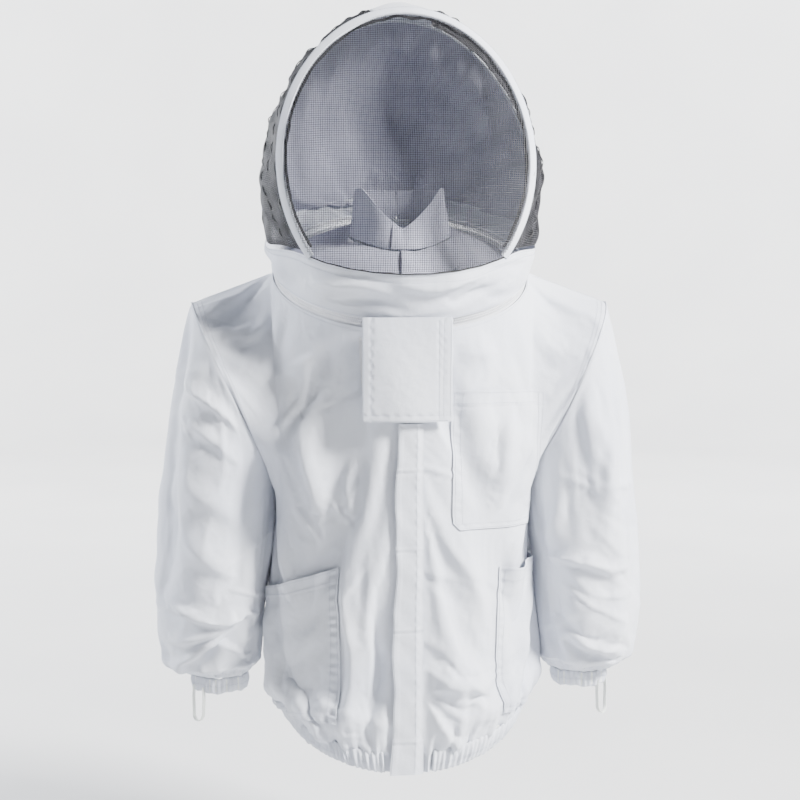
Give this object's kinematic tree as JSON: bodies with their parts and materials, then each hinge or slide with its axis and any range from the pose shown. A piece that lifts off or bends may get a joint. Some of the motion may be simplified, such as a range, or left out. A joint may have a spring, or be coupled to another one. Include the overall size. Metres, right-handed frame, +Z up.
{
  "type": "beekeeping jacket",
  "caption": "White cotton beekeeping jacket with elasticated hem and cuffs, front zip under a flap, patch pockets and a zip-on hooped hood with a see-through veil.",
  "frame": {"origin": "centre of the circle that the neck zip follows", "axes": "+Z up along the wearer, +X towards the wearer's left, the front faces -Y"},
  "size_m": [0.6924, 0.3935, 1.0299],
  "materials": {
    "cotton": "cool white cotton twill, matt with a faint sheen",
    "zip_tape": "white woven zip tape",
    "veil_net": "black knitted net, see-through",
    "elastic": "off-white woven elastic",
    "zip_plastic": "white moulded teeth, satin",
    "zip_metal": "white enamel on cast zinc",
    "spring_steel": "drawn spring wire",
    "hook_and_loop": "white hook-and-loop tape"
  },
  "bodies": {
    "jacket": {"front_panel_right": "cotton", "front_panel_left": "cotton", "back_panel": "cotton", "inner_yoke_right": "cotton", "inner_yoke_left": "cotton", "collar_right": "cotton", "collar_left": "cotton", "hanger_loop": "cotton", "placket_top": "cotton", "main_tape_right": "zip_tape", "main_tape_left": "zip_tape", "main_teeth_right": "zip_plastic", "main_teeth_left": "zip_plastic", "main_top_stops": "zip_plastic", "main_box": "zip_plastic", "main_pin": "zip_plastic", "neck_tape_jacket": "zip_tape", "neck_teeth_jacket": "zip_plastic", "chest_pocket": "cotton", "hip_pocket_right": "cotton", "hip_pocket_left": "cotton", "hem_facing": "cotton", "hem_elastic": "elastic", "throat_loop_patch": "hook_and_loop", "storm_loop_patches": "hook_and_loop"},
    "hood": {"neck_tape_hood": "zip_tape", "neck_teeth_hood": "zip_plastic", "hood_band": "cotton", "front_hoop_casing": "cotton", "front_hoop_rod": "spring_steel", "rear_hoop_casing": "cotton", "rear_hoop_rod": "spring_steel", "veil_front": "veil_net", "veil_side_right": "veil_net", "veil_side_left": "veil_net", "crown_panel": "cotton", "hood_back_panel": "cotton"},
    "sleeve_right": {"sleeve_right": "cotton", "cuff_right": "cotton", "cuff_elastic_right": "elastic", "thumb_loop_right": "elastic"},
    "sleeve_left": {"sleeve_left": "cotton", "cuff_left": "cotton", "cuff_elastic_left": "elastic", "thumb_loop_left": "elastic"},
    "throat_flap": {"throat_flap": "cotton", "throat_hook_patch": "hook_and_loop"},
    "storm_flap": {"storm_flap": "cotton", "storm_hook_patches": "hook_and_loop"},
    "main_slider": {"main_slider": "zip_metal", "main_pull": "zip_metal"},
    "neck_slider_right": {"neck_slider_right": "zip_metal", "neck_pull_right": "zip_metal"},
    "neck_slider_left": {"neck_slider_left": "zip_metal", "neck_pull_left": "zip_metal"}
  },
  "joints": [
    {"name": "hood_tilt", "type": "hinge", "parent": "jacket", "child": "hood", "pos_m": [0, 0.1635, 0.0728], "axis": [-1, 0, 0], "range_deg": [0, 100]},
    {"name": "neck_slide_left", "type": "hinge", "parent": "hood", "child": "neck_slider_left", "pos_m": [0, 0, 0], "axis": [0, -0.4067, 0.9135], "range_deg": [0, 145]},
    {"name": "neck_slide_right", "type": "hinge", "parent": "hood", "child": "neck_slider_right", "pos_m": [0, 0, 0], "axis": [0, 0.4067, -0.9135], "range_deg": [0, 145]},
    {"name": "main_slide", "type": "slide", "parent": "jacket", "child": "main_slider", "axis": [0, 0, -1], "range_m": [0, 0.54]},
    {"name": "throat_flap_hinge", "type": "hinge", "parent": "jacket", "child": "throat_flap", "pos_m": [0.0562, -0.1664, -0.129], "axis": [0, 0, 1], "range_deg": [0, 120]},
    {"name": "storm_flap_hinge", "type": "hinge", "parent": "jacket", "child": "storm_flap", "pos_m": [0.02, -0.1651, -0.444], "axis": [0, 0, 1], "range_deg": [0, 110]},
    {"name": "sleeve_raise_left", "type": "hinge", "parent": "jacket", "child": "sleeve_left", "pos_m": [0.29, 0, -0.048], "axis": [0, -1, 0], "range_deg": [0, 35]},
    {"name": "sleeve_raise_right", "type": "hinge", "parent": "jacket", "child": "sleeve_right", "pos_m": [-0.29, 0, -0.048], "axis": [0, 1, 0], "range_deg": [0, 35]}
  ]
}
